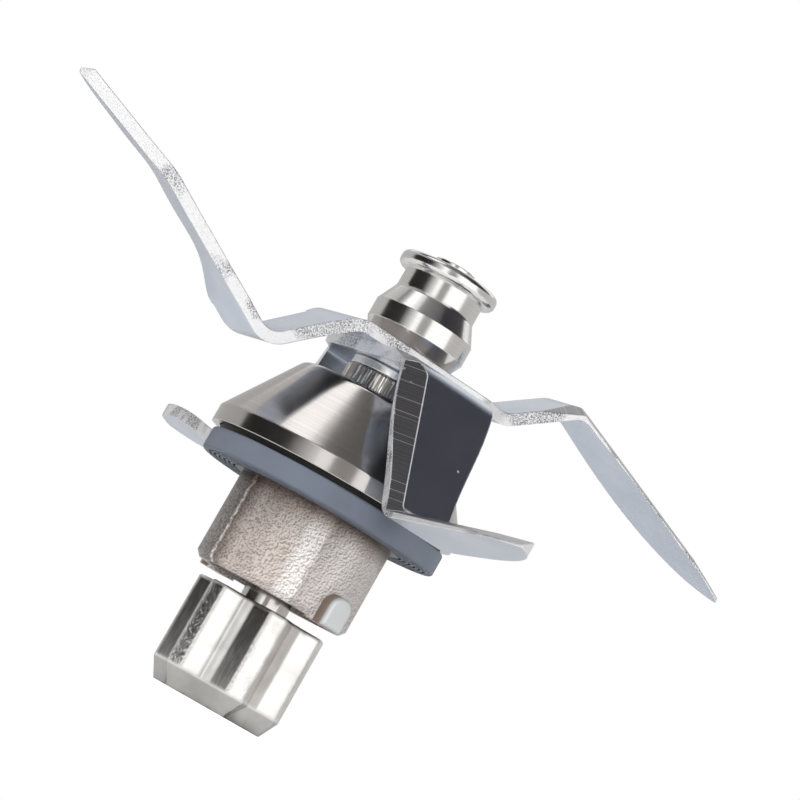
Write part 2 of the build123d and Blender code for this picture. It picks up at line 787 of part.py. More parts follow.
def make_lower_arm(tip_s, tip_rise, roll, pivot):
    """One arm of the lower blade: down beside the cone, then out to its tip."""
    top = lower_blade_top
    foot = (lower_foot_s, top - lower_foot_drop)
    rise = tip_rise / (tip_s - lower_foot_s)
    join = along(foot, rise, lower_foot_s + leaf_join, 0)
    leaf = [
        join,
        along(foot, rise, lower_foot_s + 2 * leaf_join, roll / 2),
        along(foot, rise, (lower_foot_s + tip_s) / 2, roll),
        along(foot, rise, tip_s + 1, roll),
    ]
    folds = [(-1, top), (lower_bend_s, top), foot, join[:2]]
    plan = (
        lower_hub_half_width, lower_hub_half_length, lower_arm_start, lower_arm_half_width,
        lower_taper_start, lower_tip_inset,
    )
    outline = leaf_outline(plan, tip_s, -1)
    arm = make_arm(folds, leaf, outline, lower_bend_r, lower_hub_half_width, pivot)
    reach = lower_arm_half_width + pivot
    turn = along(foot, rise, tip_s - 4 * lower_tip_inset, roll)
    tip = along(foot, rise, tip_s + grind_over, roll)
    return ground_edge(arm, [
        (lower_edge_start, -lower_hub_half_width, top + blade_thickness),
        (lower_bend_s, -lower_hub_half_width, top),
        (lower_foot_s, -lower_arm_half_width, foot[1]),
        (turn[0], -lower_arm_half_width, edge_height(turn[1], reach, roll)),
        (tip[0], lower_tip_inset - lower_arm_half_width, edge_height(tip[1], reach, roll)),
    ], lower_bend_r)


def make_lower_blade():
    """Lower blade: two arms, the rear one hollowed beside the cone."""
    top = lower_blade_top
    front = make_lower_arm(lower_front_tip_s, lower_front_tip_rise, lower_front_roll, 0)
    rear = make_lower_arm(lower_rear_tip_s, lower_rear_tip_rise, lower_rear_roll, -lower_arm_half_width)
    rear -= lower_waist(top - lower_foot_drop, top)
    body = front + Rot(0, 0, 180) * rear
    return Rot(0, 0, lower_blade_angle) * body - blade_hole(top)


def lower_waist(low, high):
    """Hollow in the trailing side of the rear arm, beside the cone."""
    outside = lower_hub_half_width + 1
    shape = make_face(
        Curve()
        + [
            Spline(
                (lower_waist_start, lower_hub_half_width + lower_waist_over),
                (lower_waist_s, lower_waist_half),
                (lower_waist_end, lower_arm_half_width + lower_waist_over),
                tangents=[(1, -1), (1, 0.6)],
            ),
            Line((lower_waist_end, lower_arm_half_width + lower_waist_over), (lower_waist_end, outside)),
            Line((lower_waist_end, outside), (lower_waist_start, outside)),
            Line((lower_waist_start, outside), (lower_waist_start, lower_hub_half_width + lower_waist_over)),
        ]
    )
    return Pos(0, 0, low - outside) * extrude(shape, high - low + 2 * outside)


def blade_hole(top):
    """Flatted hole of a blade on the shaft's flats."""
    return flatted_rod(
        shaft_r + coupling_slip, shaft_flat_half + coupling_slip, top - blade_thickness - 1, top + 1
    )


def make_hub_knob():
    """Turned knob that clamps the blades: taper, barrel, neck, flange and small boss."""
    z0 = upper_blade_top
    z1 = z0 + knob_taper_height
    z2 = z1 + knob_barrel_height
    z3 = z2 + knob_flare_height
    z4 = z3 + knob_neck_height
    z5 = z4 + knob_flange_height
    body = spun([
        (0, z0), (knob_base_r, z0), (knob_barrel_r, z1), (knob_barrel_r, z2), (knob_neck_r, z3),
        (knob_neck_r, z4), (knob_barrel_r, z4), (knob_barrel_r, z5), (knob_boss_r, z5),
        (knob_boss_r, z5 + knob_boss_height), (0, z5 + knob_boss_height),
    ])
    circles = body.edges().filter_by(GeomType.CIRCLE)
    flange = circles.filter_by(lambda e: abs(e.radius - knob_barrel_r) < 1e-3 and e.center().Z > z3)
    body = fillet(flange, knob_flange_round)
    necks = body.edges().filter_by(GeomType.CIRCLE).filter_by(
        lambda e: abs(e.radius - knob_neck_r) < 1e-3 and abs(e.center().Z - z3) < 1e-3
    )
    body = fillet(necks, knob_blend_r)
    bore = flatted_rod(shaft_r + coupling_slip, shaft_flat_half + coupling_slip, z0 - 1, shaft_top + shaft_end_break)
    return body - bore


def make_parts():
    """All sub-parts by node name."""
    parts = {
        "drive_coupling": make_drive_coupling(),
        "coupling_screw": make_coupling_screw(),
        "drive_shaft": make_drive_shaft(),
        "shaft_retaining_ring": make_shaft_ring(),
        "bearing_spacer": make_bearing_spacer(),
        "wave_washer": make_wave_washer(),
        "housing_circlip": make_housing_circlip(),
        "bearing_housing": make_bearing_housing(),
        "jug_gasket": make_jug_gasket(),
        "seal_spacer_ring": make_seal_spacer_ring(),
        "cone_cover": make_cone_cover(),
        "shaft_lip_seal": make_shaft_lip_seal(),
        "seal_spring": make_seal_spring(),
        "blade_collar": make_blade_collar(),
        "blade_washer": make_blade_washer(),
        "lower_blade": make_lower_blade(),
        "upper_blade": make_upper_blade(),
        "hub_knob": make_hub_knob(),
    }
    for name, bottom in bearing_bottoms.items():
        parts[name + "_bearing_inner_ring"] = make_inner_ring(bottom)
        parts[name + "_bearing_outer_ring"] = make_outer_ring(bottom)
        parts[name + "_bearing_balls"] = make_balls(bottom)
        parts[name + "_bearing_cage"] = make_cage(bottom)
        parts[name + "_bearing_shields"] = make_shields(bottom)
    return parts


os.makedirs("parts", exist_ok=True)
for node, shape in make_parts().items():
    export_step(shape, "parts/" + node + ".step")
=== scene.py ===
# %% [markdown]
# # Blade assembly of a cooking blender
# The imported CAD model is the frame: every solid arrives in metres, in place, on the body it moves with.
# This lesson dresses it: metals, rubber and plastic built from nodes, a studio, and the photograph's camera.

# %% Load the frame
import bpy
import bmesh
import math
from mathutils import Matrix, Vector

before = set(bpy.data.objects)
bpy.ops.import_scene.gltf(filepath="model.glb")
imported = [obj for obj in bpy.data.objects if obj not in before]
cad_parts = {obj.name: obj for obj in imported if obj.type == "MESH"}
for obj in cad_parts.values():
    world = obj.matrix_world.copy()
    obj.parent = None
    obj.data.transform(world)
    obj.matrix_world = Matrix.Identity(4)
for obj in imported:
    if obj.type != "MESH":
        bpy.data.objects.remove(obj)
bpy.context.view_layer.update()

# %% [markdown]
# ## Helpers
# A colour is picked as it looks on a screen, an sRGB hex value. The shader wants linear light, so one
# function turns the one into the other. A second function adds a node with its settings and links. An input
# is given by its name, or by its number where several sockets share a name, and a node given as an input
# stands for its first output. The size of a pattern is written in millimetres, as it would be measured.
# Most of a noise falls between 0.3 and 0.7, so that range is stretched where a noise drives something.

# %% Colour and node helpers
MM = 0.001
COLOUR_A, COLOUR_B, MIXED_COLOUR = 6, 7, 2
FLOAT_A, FLOAT_B = 2, 3
NOISE_LOW, NOISE_HIGH = 0.3, 0.7
BEVEL_SAMPLES = 8


def colour(code):
    """Linear RGBA of an sRGB hex colour."""
    channels = [int(code[i:i + 2], 16) / 255 for i in (0, 2, 4)]
    return tuple(c / 12.92 if c <= 0.04045 else ((c + 0.055) / 1.055) ** 2.4 for c in channels) + (1.0,)


def node(material, kind, inputs=None, stops=(), **settings):
    """Adds a node. Its inputs are linked or set, and stops gives the places and hex colours of a ramp."""
    made = material.node_tree.nodes.new("ShaderNode" + kind)
    for name, value in settings.items():
        setattr(made, name, value)
    for name, value in (inputs or {}).items():
        if isinstance(value, bpy.types.Node):
            value = value.outputs[0]
        if isinstance(value, bpy.types.NodeSocket):
            material.node_tree.links.new(value, made.inputs[name])
        else:
            made.inputs[name].default_value = value
    for number, (place, code) in enumerate(stops):
        elements = made.color_ramp.elements
        stop = elements[number] if number < 2 else elements.new(1.0)
        stop.position, stop.color = place, colour(code)
    return made


def new_material(name):
    """Material with an empty node tree."""
    material = bpy.data.materials.new(name)
    material.use_nodes = True
    material.node_tree.nodes.clear()
    return material


def finish_material(material, shader):
    """Gives a material its output and says so."""
    node(material, "OutputMaterial", {"Surface": shader})
    print("material", material.name, "with", len(material.node_tree.nodes), "nodes")
    return material


def about_axis(material):
    """The place on a piece, that place split into its three lengths, and its distance from the axis."""
    place = node(material, "TexCoord").outputs["Object"]
    split = node(material, "SeparateXYZ", {"Vector": place})
    flat = node(material, "CombineXYZ", {"X": split.outputs["X"], "Y": split.outputs["Y"]})
    radius = node(material, "VectorMath", {0: flat}, operation="LENGTH").outputs["Value"]
    return place, split, radius


# %% [markdown]
# ## Turned stainless steel
# The knob, the washer and the cone cover are turned on a lathe. The tool leaves fine rings round the axis,
# so a highlight spreads along the axis and stays sharp around it. The rings are a noise that changes only
# with the radius plus the height, and the anisotropic highlight follows a radial tangent about Z. A real
# ring is some 0.05 mm wide, too fine to show, so the rings are drawn about three times coarser. Smudges
# from handling change the roughness a little.

# %% Turned stainless steel
def turned_stainless(name, code, roughness, ring_pitch_mm, ring_depth_mm, anisotropy):
    """Stainless steel with lathe rings about Z."""
    smudge_mm = 7
    edge_mm = 0.2
    material = new_material(name)
    place, split, radius = about_axis(material)
    walk = node(material, "Math", {0: radius, 1: split.outputs["Z"]}, operation="ADD")
    ring_place = node(material, "CombineXYZ", {"Z": walk})
    rings = node(
        material, "TexNoise",
        {"Vector": ring_place, "Scale": 1 / (ring_pitch_mm * MM), "Detail": 3.0, "Roughness": 0.6},
    )
    smudge = node(
        material, "TexNoise",
        {"Vector": place, "Scale": 1 / (smudge_mm * MM), "Detail": 4.0, "Roughness": 0.55},
    )
    rough = node(
        material, "MapRange",
        {
            "Value": smudge, "From Min": NOISE_LOW, "From Max": NOISE_HIGH,
            "To Min": roughness * 0.85, "To Max": roughness * 1.2,
        },
    )
    tint = node(
        material, "MapRange",
        {"Value": rings, "From Min": NOISE_LOW, "From Max": NOISE_HIGH, "To Min": 0.9, "To Max": 1.06},
    )
    shade = node(material, "VectorMath", {0: colour(code)[:3], "Scale": tint}, operation="SCALE")
    rounded = node(material, "Bevel", {"Radius": edge_mm * MM}, samples=BEVEL_SAMPLES)
    bump = node(
        material, "Bump",
        {"Height": rings, "Strength": 0.5, "Distance": ring_depth_mm * MM, "Normal": rounded},
    )
    tangent = node(material, "Tangent", direction_type="RADIAL", axis="Z")
    shader = node(
        material, "BsdfPrincipled",
        {
            "Base Color": shade, "Metallic": 1.0, "Roughness": rough, "Anisotropic": anisotropy,
            "Tangent": tangent, "Normal": bump,
        },
    )
    return finish_material(material, shader)


knob_steel = turned_stainless(
    "turned stainless steel, knob", "e6e4e2", 0.17, ring_pitch_mm=0.16, ring_depth_mm=0.004, anisotropy=0.4
)
cone_steel = turned_stainless(
    "turned stainless steel, cone", "c6c2bf", 0.15, ring_pitch_mm=0.14, ring_depth_mm=0.003, anisotropy=0.3
)

# %% [markdown]
# ## Ground stainless steel
# The coupling and the shaft are ground along the axis, which leaves a fine satin drawn out along Z. The
# marks of a wheel are some 0.02 mm wide, too fine to show, and are drawn coarser. The coupling's lead-in has
# a painted shade, darker near the floor, and the crests of its lobes carry small dents from the socket that
# drives it. The inner steels below use the same function with a grain that isn't drawn out.

# %% Ground stainless steel
def ground_stainless(
    name, code, roughness, grain_mm, grain_depth_mm, draw,
    edge_mm=0.15, painted_shade_below_mm=-1.0, dented_over_mm=99.0,
):
    """Stainless steel with a satin grain, draw times longer along Z than it is wide.

    It carries a painted shade below a height and is dented outside a radius. The defaults leave both out.
    """
    cloud_mm = 4
    dark_share = 0.82
    painted_shade_share = 0.66
    border_mm = 0.1
    dent_mm = 0.2
    dent_flattening = 0.3
    dent_depth_mm = 0.032
    material = new_material(name)
    place, split, radius = about_axis(material)
    grain = node(
        material, "TexNoise",
        {
            "Vector": node(material, "Mapping", {"Vector": place, "Scale": (1.0, 1.0, 1.0 / draw)}),
            "Scale": 1 / (grain_mm * MM), "Detail": 4.0, "Roughness": 0.6,
        },
    )
    cloud = node(material, "TexNoise", {"Vector": place, "Scale": 1 / (cloud_mm * MM), "Detail": 3.0})
    dark = tuple(channel * dark_share for channel in colour(code)[:3]) + (1.0,)
    shade = node(
        material, "Mix",
        {
            "Factor": node(material, "MapRange", {"Value": cloud, "From Min": 0.35, "From Max": 0.65}),
            COLOUR_A: dark, COLOUR_B: colour(code),
        },
        data_type="RGBA",
    ).outputs[MIXED_COLOUR]
    # Painted shade: below the given height the colour is darker, for the shade next to the floor.
    lead_in_shade = node(
        material, "MapRange",
        {
            "Value": split.outputs["Z"], "To Min": painted_shade_share,
            "From Min": (painted_shade_below_mm - border_mm) * MM, "From Max": (painted_shade_below_mm + border_mm) * MM,
        },
    )
    shade = node(material, "VectorMath", {0: shade, "Scale": lead_in_shade}, operation="SCALE")
    rough = node(
        material, "MapRange",
        {
            "Value": grain, "From Min": NOISE_LOW, "From Max": NOISE_HIGH,
            "To Min": roughness * 0.75, "To Max": roughness * 1.3,
        },
    )
    outside = node(
        material, "MapRange",
        {
            "Value": radius,
            "From Min": (dented_over_mm - border_mm) * MM, "From Max": (dented_over_mm + border_mm) * MM,
        },
    )
    drawn = node(material, "Mapping", {"Vector": place, "Scale": (1.0, 1.0, dent_flattening)})
    dents = node(material, "TexNoise", {"Vector": drawn, "Scale": 1 / (dent_mm * MM)})
    rounded = node(material, "Bevel", {"Radius": edge_mm * MM}, samples=BEVEL_SAMPLES)
    satin = node(
        material, "Bump",
        {"Height": grain, "Strength": 0.5, "Distance": grain_depth_mm * MM, "Normal": rounded},
    )
    bump = node(
        material, "Bump",
        {"Height": dents, "Strength": outside, "Distance": dent_depth_mm * MM, "Normal": satin},
    )
    shader = node(
        material, "BsdfPrincipled",
        {"Base Color": shade, "Metallic": 1.0, "Roughness": rough, "Normal": bump},
    )
    return finish_material(material, shader)


coupling_steel = ground_stainless(
    "ground stainless steel, coupling", "f2efec", 0.13, grain_mm=0.12, grain_depth_mm=0.0008, draw=20,
    edge_mm=1.0, painted_shade_below_mm=2.8, dented_over_mm=9.5,
)
shaft_steel = ground_stainless(
    "ground stainless steel, shaft", "dedad6", 0.12, grain_mm=0.15, grain_depth_mm=0.003, draw=4
)

# %% [markdown]
# ## Scratched stainless steel
# The collar is pressed on along the axis, and each assembly leaves scratches: streaks some twelve times
# longer than wide, a few of them bright where the metal is freshly cut.

# %% Scratched stainless steel
def scratched_stainless(name):
    """Stainless steel with coarse bright scratches along Z."""
    scratch_mm = 0.28
    scratch_flattening = 0.08
    scratch_depth_mm = 0.01
    edge_mm = 0.15
    material = new_material(name)
    place = node(material, "TexCoord").outputs["Object"]
    streak = node(
        material, "TexNoise",
        {
            "Vector": node(material, "Mapping", {"Vector": place, "Scale": (1.0, 1.0, scratch_flattening)}),
            "Scale": 1 / (scratch_mm * MM), "Roughness": 0.6,
        },
    )
    shade = node(
        material, "ValToRGB", {"Fac": streak}, stops=[(0.42, "8a8683"), (0.55, "aaa6a3"), (0.62, "f6f4f2")]
    )
    rounded = node(material, "Bevel", {"Radius": edge_mm * MM}, samples=BEVEL_SAMPLES)
    bump = node(
        material, "Bump",
        {"Height": streak, "Strength": 0.6, "Distance": scratch_depth_mm * MM, "Normal": rounded},
    )
    shader = node(
        material, "BsdfPrincipled", {"Base Color": shade, "Metallic": 1.0, "Roughness": 0.2, "Normal": bump}
    )
    return finish_material(material, shader)


collar_steel = scratched_stainless("scratched stainless steel, collar")

# %% [markdown]
# ## Blade steel
# The blades are stamped from hardened stainless sheet, folded, tumbled and ground, so one piece shows three
# kinds of face. Painting them by hand would need a texture image. The normal of a face tells them apart
# instead: it points up or down on the broad faces, stays low on the sheared sides, and leans sideways on
# the ground edge. It is turned into the blade's frame, so that the finish stays on as the blade spins.

# %% Kinds of blade face
def blade_faces(material, place, normal, strip_angle):
    """Shares from 0 to 1 of the kinds of face, and the place along, across and above the blade's strip."""
    sheared_upright = (0.4, 0.28)
    ground_lean = (0.27, 0.31)
    upper_over = 0.3
    steep_under = 0.6
    facing = node(
        material, "VectorTransform", {"Vector": normal},
        vector_type="NORMAL", convert_from="WORLD", convert_to="OBJECT",
    )
    turn = {"Axis": (0.0, 0.0, 1.0), "Angle": -math.radians(strip_angle)}
    facing = node(material, "VectorRotate", {"Vector": facing, **turn}, rotation_type="AXIS_ANGLE")
    strip = node(material, "VectorRotate", {"Vector": place, **turn}, rotation_type="AXIS_ANGLE")
    lean = node(material, "SeparateXYZ", {"Vector": facing})
    aside = node(material, "Math", {0: lean.outputs["Y"]}, operation="ABSOLUTE")
    upright = node(material, "Math", {0: lean.outputs["Z"]}, operation="ABSOLUTE")
    sheared = node(
        material, "MapRange",
        {"Value": upright, "From Min": sheared_upright[0], "From Max": sheared_upright[1]},
    )
    leaning = node(
        material, "MapRange", {"Value": aside, "From Min": ground_lean[0], "From Max": ground_lean[1]}
    )
    upper = node(material, "Math", {0: lean.outputs["Z"], 1: upper_over}, operation="GREATER_THAN")
    steep = node(material, "Math", {0: lean.outputs["Z"], 1: steep_under}, operation="LESS_THAN")
    ground = node(material, "Math", {0: leaning, 1: upper}, operation="MULTIPLY")
    faces = {"sheared": sheared, "upper": upper, "steep": steep, "ground": ground}
    return faces, node(material, "SeparateXYZ", {"Vector": strip})


# %% [markdown]
# The satin of the tumbling and the torn metal of a sheared side are the same in every direction. A grinding
# wheel runs across the strip, so its scratches change only along the strip, and a noise that is fed nothing
# but the way out along the strip draws them over the full width. Satin and tear are finer than 0.1 mm on
# the real sheet and are drawn at 0.2 mm, so that they show.

# %% Grains of the blade
def blade_grains(material, place, strip, steep):
    """Noises of the sheet and of the grinding wheel."""
    arm_fall = 1.92
    grains = {}
    for title, size_mm, detail, roughness in (
        ("satin", 0.2, 5.0, 0.65), ("cloud", 9, 4.0, 0.5), ("tear", 0.2, 2.0, 0.6), ("patch", 7, 2.0, 0.5),
    ):
        grains[title] = node(
            material, "TexNoise",
            {"Vector": place, "Scale": 1 / (size_mm * MM), "Detail": detail, "Roughness": roughness},
        )
    # A steep arm falls arm_fall times as far as it goes out.
    out = node(material, "Math", {0: strip.outputs["X"]}, operation="ABSOLUTE")
    drop = node(material, "Math", {0: strip.outputs["Z"], 1: -arm_fall}, operation="MULTIPLY")
    drop = node(material, "Math", {0: drop, 1: steep}, operation="MULTIPLY")
    walk = node(material, "Math", {0: out, 1: drop}, operation="ADD")
    walk = node(material, "CombineXYZ", {"X": walk})
    for title, size_mm, detail, roughness in (("scratch", 0.3, 3.0, 0.7), ("gouge", 0.7, 1.0, 0.5)):
        grains[title] = node(
            material, "TexNoise",
            {"Vector": walk, "Scale": 1 / (size_mm * MM), "Detail": detail, "Roughness": roughness},
        )
    return grains


# %% [markdown]
# The broad faces are a cool grey and turn neutral on top of the hub. The sheared sides are pale where the
# punch cut cleanly, with patches of torn grey grain. The ground faces are darker, and on the steep arm a
# painted dark reflection makes them darkest. A few gouges in them are bright.

# %% Tones of the blade
def blade_tones(material, strip, grains, faces):
    """Colours of the broad, sheared and ground faces."""
    hub_half_mm = 10
    torn_patch = (0.5, 0.58)
    gouge_peak = (0.63, 0.66)
    gouge_tone = colour("d8d8da")
    tones = {}
    for title, grain, stops in (
        ("under", "cloud", [(0.3, "c0c8d6"), (0.7, "d0d7e2")]),
        ("hub", "cloud", [(0.3, "cbc6c3"), (0.7, "dcd8d6")]),
        ("cut", "tear", [(0.35, "f0f0f1"), (0.5, "fdfdfe")]),
        ("torn", "tear", [(0.4, "8e8e92"), (0.56, "f4f4f6")]),
        ("flat", "scratch", [(0.35, "9c9ca0"), (0.6, "c9c9cd")]),
        # On the steep arm the ground faces get a painted dark reflection.
        ("steep", "scratch", [(0.35, "5f5e61"), (0.6, "8a898d")]),
    ):
        tones[title] = node(material, "ValToRGB", {"Fac": grains[grain]}, stops=stops)
    out = node(material, "Math", {0: strip.outputs["X"]}, operation="ABSOLUTE")
    near_hub = node(material, "Math", {0: out, 1: hub_half_mm * MM}, operation="LESS_THAN")
    hub_top = node(material, "Math", {0: near_hub, 1: faces["upper"]}, operation="MULTIPLY")
    torn = node(
        material, "MapRange", {"Value": grains["patch"], "From Min": torn_patch[0], "From Max": torn_patch[1]}
    )
    gouged = node(
        material, "MapRange", {"Value": grains["gouge"], "From Min": gouge_peak[0], "From Max": gouge_peak[1]}
    )
    for title, share, first, second in (
        ("broad", hub_top, "under", "hub"),
        ("sheared", torn, "cut", "torn"),
        ("fine", faces["steep"], "flat", "steep"),
    ):
        tones[title] = node(
            material, "Mix", {"Factor": share, COLOUR_A: tones[first], COLOUR_B: tones[second]},
            data_type="RGBA",
        ).outputs[MIXED_COLOUR]
    tones["ground"] = node(
        material, "Mix", {"Factor": gouged, COLOUR_A: tones["fine"], COLOUR_B: gouge_tone}, data_type="RGBA"
    ).outputs[MIXED_COLOUR]
    return tones


# %% [markdown]
# A painted highlight runs as a bright line along the corners of the steep arm. A corner is found where the
# rounded normal of a Bevel node differs a little from the face's own. Specks of dust lie on all of the blade,
# one cell of a Voronoi pattern each.

# %% Burr and dust
def blade_bright(material, place, normal, rounded, faces):
    """Share of the painted edge highlight and of dust."""
    corner = (0.9985, 0.994)
    rounding = (0.95, 0.97)
    dust_mm = 2.4
    dust_radius = (0.1, 0.05)
    dust_share = 0.45
    dot = node(material, "VectorMath", {0: rounded, 1: normal}, operation="DOT_PRODUCT")
    likeness = dot.outputs["Value"]
    # Painted highlight: a bright line along the corners of the steep arm.
    painted_edge_glint = node(material, "MapRange", {"Value": likeness, "From Min": corner[0], "From Max": corner[1]})
    inner = node(material, "MapRange", {"Value": likeness, "From Min": rounding[0], "From Max": rounding[1]})
    not_sheared = node(material, "Math", {0: 1.0, 1: faces["sheared"]}, operation="SUBTRACT")
    for share in (inner, faces["steep"], faces["upper"], not_sheared):
        painted_edge_glint = node(material, "Math", {0: painted_edge_glint, 1: share}, operation="MULTIPLY")
    specks = node(material, "TexVoronoi", {"Vector": place, "Scale": 1 / (dust_mm * MM)}).outputs["Distance"]
    dust = node(
        material, "MapRange",
        {"Value": specks, "From Min": dust_radius[0], "From Max": dust_radius[1], "To Max": dust_share},
    )
    return node(material, "Math", {0: painted_edge_glint, 1: dust}, operation="MAXIMUM")


# %% [markdown]
# The parts come together in one material for each blade, which differ only in the angle of their strip.
# Where dust lies, the surface is less metallic, because dust scatters the light, and the painted edge
# highlight is made less metallic as well.

# %% Blade steel
def blade_stainless(name, strip_angle):
    """Stainless sheet for a blade whose strip runs at an angle about Z: satin, sheared and ground faces."""
    edge_mm = 0.22
    satin_depth_mm = 0.006
    tear_depth_mm = 0.02
    satin_roughness = 0.26
    ground_roughness = 0.34
    sheared_roughness = 0.5
    bright_metallic = 0.25
    bright_tone = colour("d9d8dc")
    material = new_material(name)
    place = node(material, "TexCoord").outputs["Object"]
    normal = node(material, "NewGeometry").outputs["True Normal"]
    rounded = node(material, "Bevel", {"Radius": edge_mm * MM}, samples=BEVEL_SAMPLES)
    faces, strip = blade_faces(material, place, normal, strip_angle)
    ground, sheared = faces["ground"], faces["sheared"]
    grains = blade_grains(material, place, strip, faces["steep"])
    tones = blade_tones(material, strip, grains, faces)
    bright = blade_bright(material, place, normal, rounded, faces)

    shade = tones["broad"]
    # The painted edge highlight and the dust lighten the colour.
    for share, layer in ((ground, tones["ground"]), (sheared, tones["sheared"]), (bright, bright_tone)):
        shade = node(
            material, "Mix", {"Factor": share, COLOUR_A: shade, COLOUR_B: layer}, data_type="RGBA"
        ).outputs[MIXED_COLOUR]
    metal = node(material, "MapRange", {"Value": bright, "To Min": 1.0, "To Max": bright_metallic})
    rough = node(
        material, "MapRange", {"Value": ground, "To Min": satin_roughness, "To Max": ground_roughness}
    )
    rough = node(material, "Mix", {"Factor": sheared, FLOAT_A: rough, FLOAT_B: sheared_roughness})
    height = node(material, "Mix", {"Factor": ground, FLOAT_A: grains["satin"], FLOAT_B: grains["scratch"]})
    height = node(material, "Mix", {"Factor": sheared, FLOAT_A: height, FLOAT_B: grains["tear"]})
    depth = node(
        material, "MapRange", {"Value": sheared, "To Min": satin_depth_mm * MM, "To Max": tear_depth_mm * MM}
    )
    bump = node(material, "Bump", {"Height": height, "Distance": depth, "Strength": 0.8, "Normal": rounded})
    shader = node(
        material, "BsdfPrincipled",
        {"Base Color": shade, "Metallic": metal, "Roughness": rough, "Normal": bump},
    )
    return finish_material(material, shader)


upper_blade_steel = blade_stainless("stamped stainless sheet, upper blade", strip_angle=28.0)
lower_blade_steel = blade_stainless("stamped stainless sheet, lower blade", strip_angle=-62.0)

# %% [markdown]
# ## Cast housing
# The bearing housing is an investment casting that was blasted. Round its column the colour carries painted
# light and shade, read by the angle about the axis: a smooth strip that was left unblasted, painted darker,
# the raised crease it ends in with a painted highlight and a painted shade beside it, the pebbled wall, and
# a painted highlight down the corner. One colour ramp holds them, and their borders waver by a degree, so
# that they don't look ruled.

# %% Zones of the housing
def housing_painted_light(material, split, wobble_noise, corner_angle):
    """Painted light and shade by the angle about the axis from the corner, and the share of the smooth strip.
    """
    first_angle = -95.0
    last_angle = 85.0
    strip_end = (-71.0, -69.0)
    wobble_degrees = 1.3
    # Painted light and shade: a darker strip, a highlight and a shade at the crease, a highlight at the
    # corner.
    tones = (
        (-95.0, "a5a3a2"), (-70.5, "949291"),
        (-69.0, "ffffff"), (-67.0, "8f827b"),
        (-52.0, "e9e1dc"), (-15.0, "dfd9d5"),
        (-9.0, "ffffff"), (1.0, "ffffff"), (4.0, "cdcac9"),
        (20.0, "e2e1e0"), (60.0, "dddcdb"), (85.0, "cac8c6"),
    )
    turn = node(material, "Math", {0: split.outputs["Y"], 1: split.outputs["X"]}, operation="ARCTAN2")
    degrees = node(material, "Math", {0: turn}, operation="DEGREES")
    wobble = node(
        material, "MapRange",
        {
            "Value": wobble_noise, "From Min": NOISE_LOW, "From Max": NOISE_HIGH,
            "To Min": -wobble_degrees, "To Max": wobble_degrees,
        },
    )
    degrees = node(material, "Math", {0: degrees, 1: wobble}, operation="ADD")
    angle = node(material, "Math", {0: degrees, 1: 90.0 - corner_angle}, operation="ADD")
    angle = node(material, "Math", {0: angle, 1: last_angle, 2: first_angle}, operation="WRAP")
    share = node(
        material, "MapRange", {"Value": angle, "From Min": first_angle, "From Max": last_angle}
    )
    around = last_angle - first_angle
    painted_light_zones = node(
        material, "ValToRGB", {"Fac": share},
        stops=[((at - first_angle) / around, code) for at, code in tones],
    )
    smooth_strip = node(
        material, "MapRange",
        {"Value": angle, "From Min": strip_end[0], "From Max": strip_end[1], "To Min": 1.0, "To Max": 0.0},
    )
    return painted_light_zones, smooth_strip


# %% [markdown]
# The bayonet lugs stand out beyond the column. A brown painted shade darkens their flanks towards the base
# and leaves their ends light. A painted shadow darkens the housing where the gasket meets it.

# %% Lugs and grime of the housing
def housing_lugs(material, up, radius):
    """Share of the lugs and their painted shade from base to end."""
    lug_from_mm = 12.1
    lug_top_mm = 22.0
    lug_base_mm = 12.0
    lug_end_mm = 14.0
    outside = node(material, "Math", {0: radius, 1: lug_from_mm * MM}, operation="GREATER_THAN")
    low = node(material, "Math", {0: up, 1: lug_top_mm * MM}, operation="LESS_THAN")
    lug = node(material, "Math", {0: outside, 1: low}, operation="MULTIPLY")
    along = node(
        material, "MapRange", {"Value": radius, "From Min": lug_base_mm * MM, "From Max": lug_end_mm * MM}
    )
    # Painted shade: the lug is dark brown at its base and light at its end.
    lug_painted_shade = node(
        material, "ValToRGB", {"Fac": along},
        stops=[(0.0, "7e6c62"), (0.7, "8f7f76"), (0.88, "c2c6c6"), (1.0, "cdd0d0")],
    )
    return lug, lug_painted_shade


def housing_gasket_shadow(material, up):
    """Painted shadow that darkens the housing under the gasket."""
    shadow_from_mm = 27.5
    shadow_to_mm = 30.5
    # Painted shadow under the gasket.
    share = node(
        material, "MapRange", {"Value": up, "From Min": shadow_from_mm * MM, "From Max": shadow_to_mm * MM}
    )
    return node(
        material, "ValToRGB", {"Fac": share}, stops=[(0.0, "ffffff"), (0.5, "d9d1cc"), (1.0, "5f554f")]
    )


# %% [markdown]
# Blasting leaves an even pebble grain, whose slopes are light on one side and dark on the other. A bump
# alone is too faint for that from afar, so the slope is also worked out in the colour, as the grain at a
# place less the grain a little beside it. The real grain is about 0.2 mm and is drawn at 0.34 mm, so that
# it shows. The strip, the lugs and the lower rim are smooth. The blasted skin scatters much of the light,
# so the material is only half metallic.

